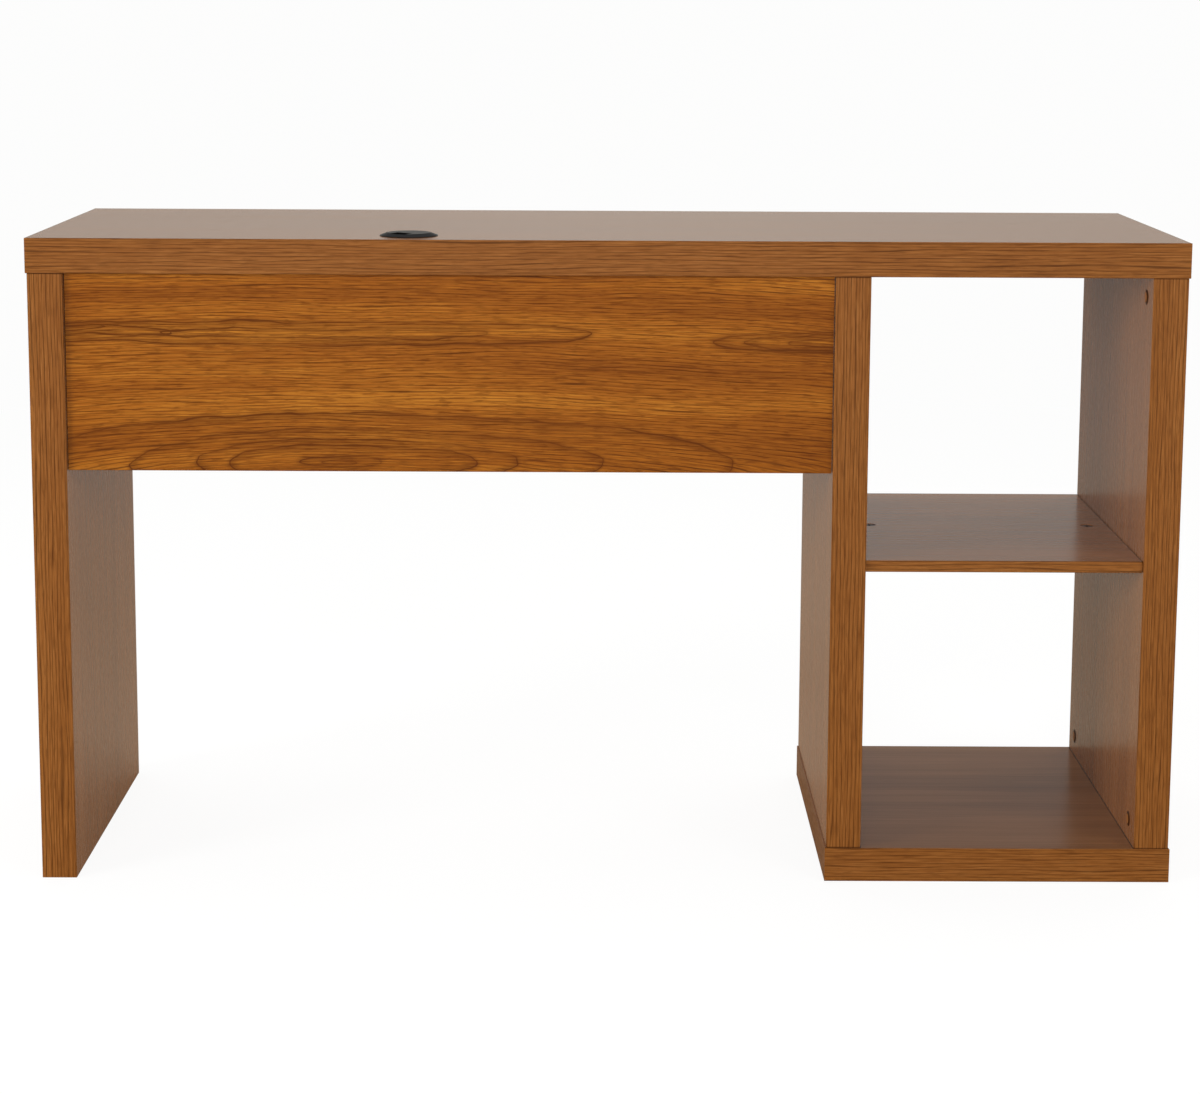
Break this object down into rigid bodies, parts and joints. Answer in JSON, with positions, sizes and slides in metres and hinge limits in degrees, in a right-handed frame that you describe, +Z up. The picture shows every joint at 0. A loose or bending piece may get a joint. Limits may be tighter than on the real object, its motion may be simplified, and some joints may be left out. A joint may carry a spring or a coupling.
{
  "type": "office desk",
  "caption": "Flat-pack laminate desk with thick slab top and ends, an open shelf tower on one side, a rear modesty panel and a cable grommet.",
  "frame": {"origin": "on the floor, under the middle of the desk top", "axes": "+Z up; +X along the top towards the shelf tower; +Y from the rear, where the modesty panel and the grommet are, towards the sitter"},
  "size_m": [1.25, 0.4, 0.7145],
  "materials": {
    "laminate_board": "satin wood-look laminate on particleboard",
    "edge_band": "satin wood-look edge banding",
    "cam_zinc": "die-cast zinc",
    "bolt_steel": "plated steel",
    "dowel_wood": "raw beech",
    "cover_plastic": "brown moulded plastic",
    "grommet_plastic": "black moulded plastic"
  },
  "bodies": {
    "desk": {"desk_top": "laminate_board", "base_panel": "laminate_board", "left_end_panel": "laminate_board", "middle_panel": "laminate_board", "right_end_panel": "laminate_board", "shelf": "laminate_board", "modesty_panel": "laminate_board", "desk_top_edge_bands": "edge_band", "base_panel_edge_bands": "edge_band", "left_end_panel_edge_bands": "edge_band", "middle_panel_edge_bands": "edge_band", "right_end_panel_edge_bands": "edge_band", "shelf_edge_bands": "edge_band", "modesty_edge_band": "edge_band", "top_joint_cams": "cam_zinc", "base_joint_cams": "cam_zinc", "shelf_joint_cams": "cam_zinc", "modesty_joint_cams": "cam_zinc", "top_joint_bolts": "bolt_steel", "base_joint_bolts": "bolt_steel", "shelf_joint_bolts": "bolt_steel", "modesty_joint_bolts": "bolt_steel", "top_joint_dowels": "dowel_wood", "base_joint_dowels": "dowel_wood", "shelf_joint_dowels": "dowel_wood", "modesty_joint_dowels": "dowel_wood", "top_joint_cam_covers": "cover_plastic", "base_joint_cam_covers": "cover_plastic", "grommet_sleeve": "grommet_plastic"},
    "grommet_cap": {"grommet_cap": "grommet_plastic"}
  },
  "joints": [
    {"name": "grommet_cap_turn", "type": "hinge", "parent": "desk", "child": "grommet_cap", "pos_m": [-0.217, -0.15, 0.7145], "axis": [0, 0, 1], "continuous": true}
  ]
}
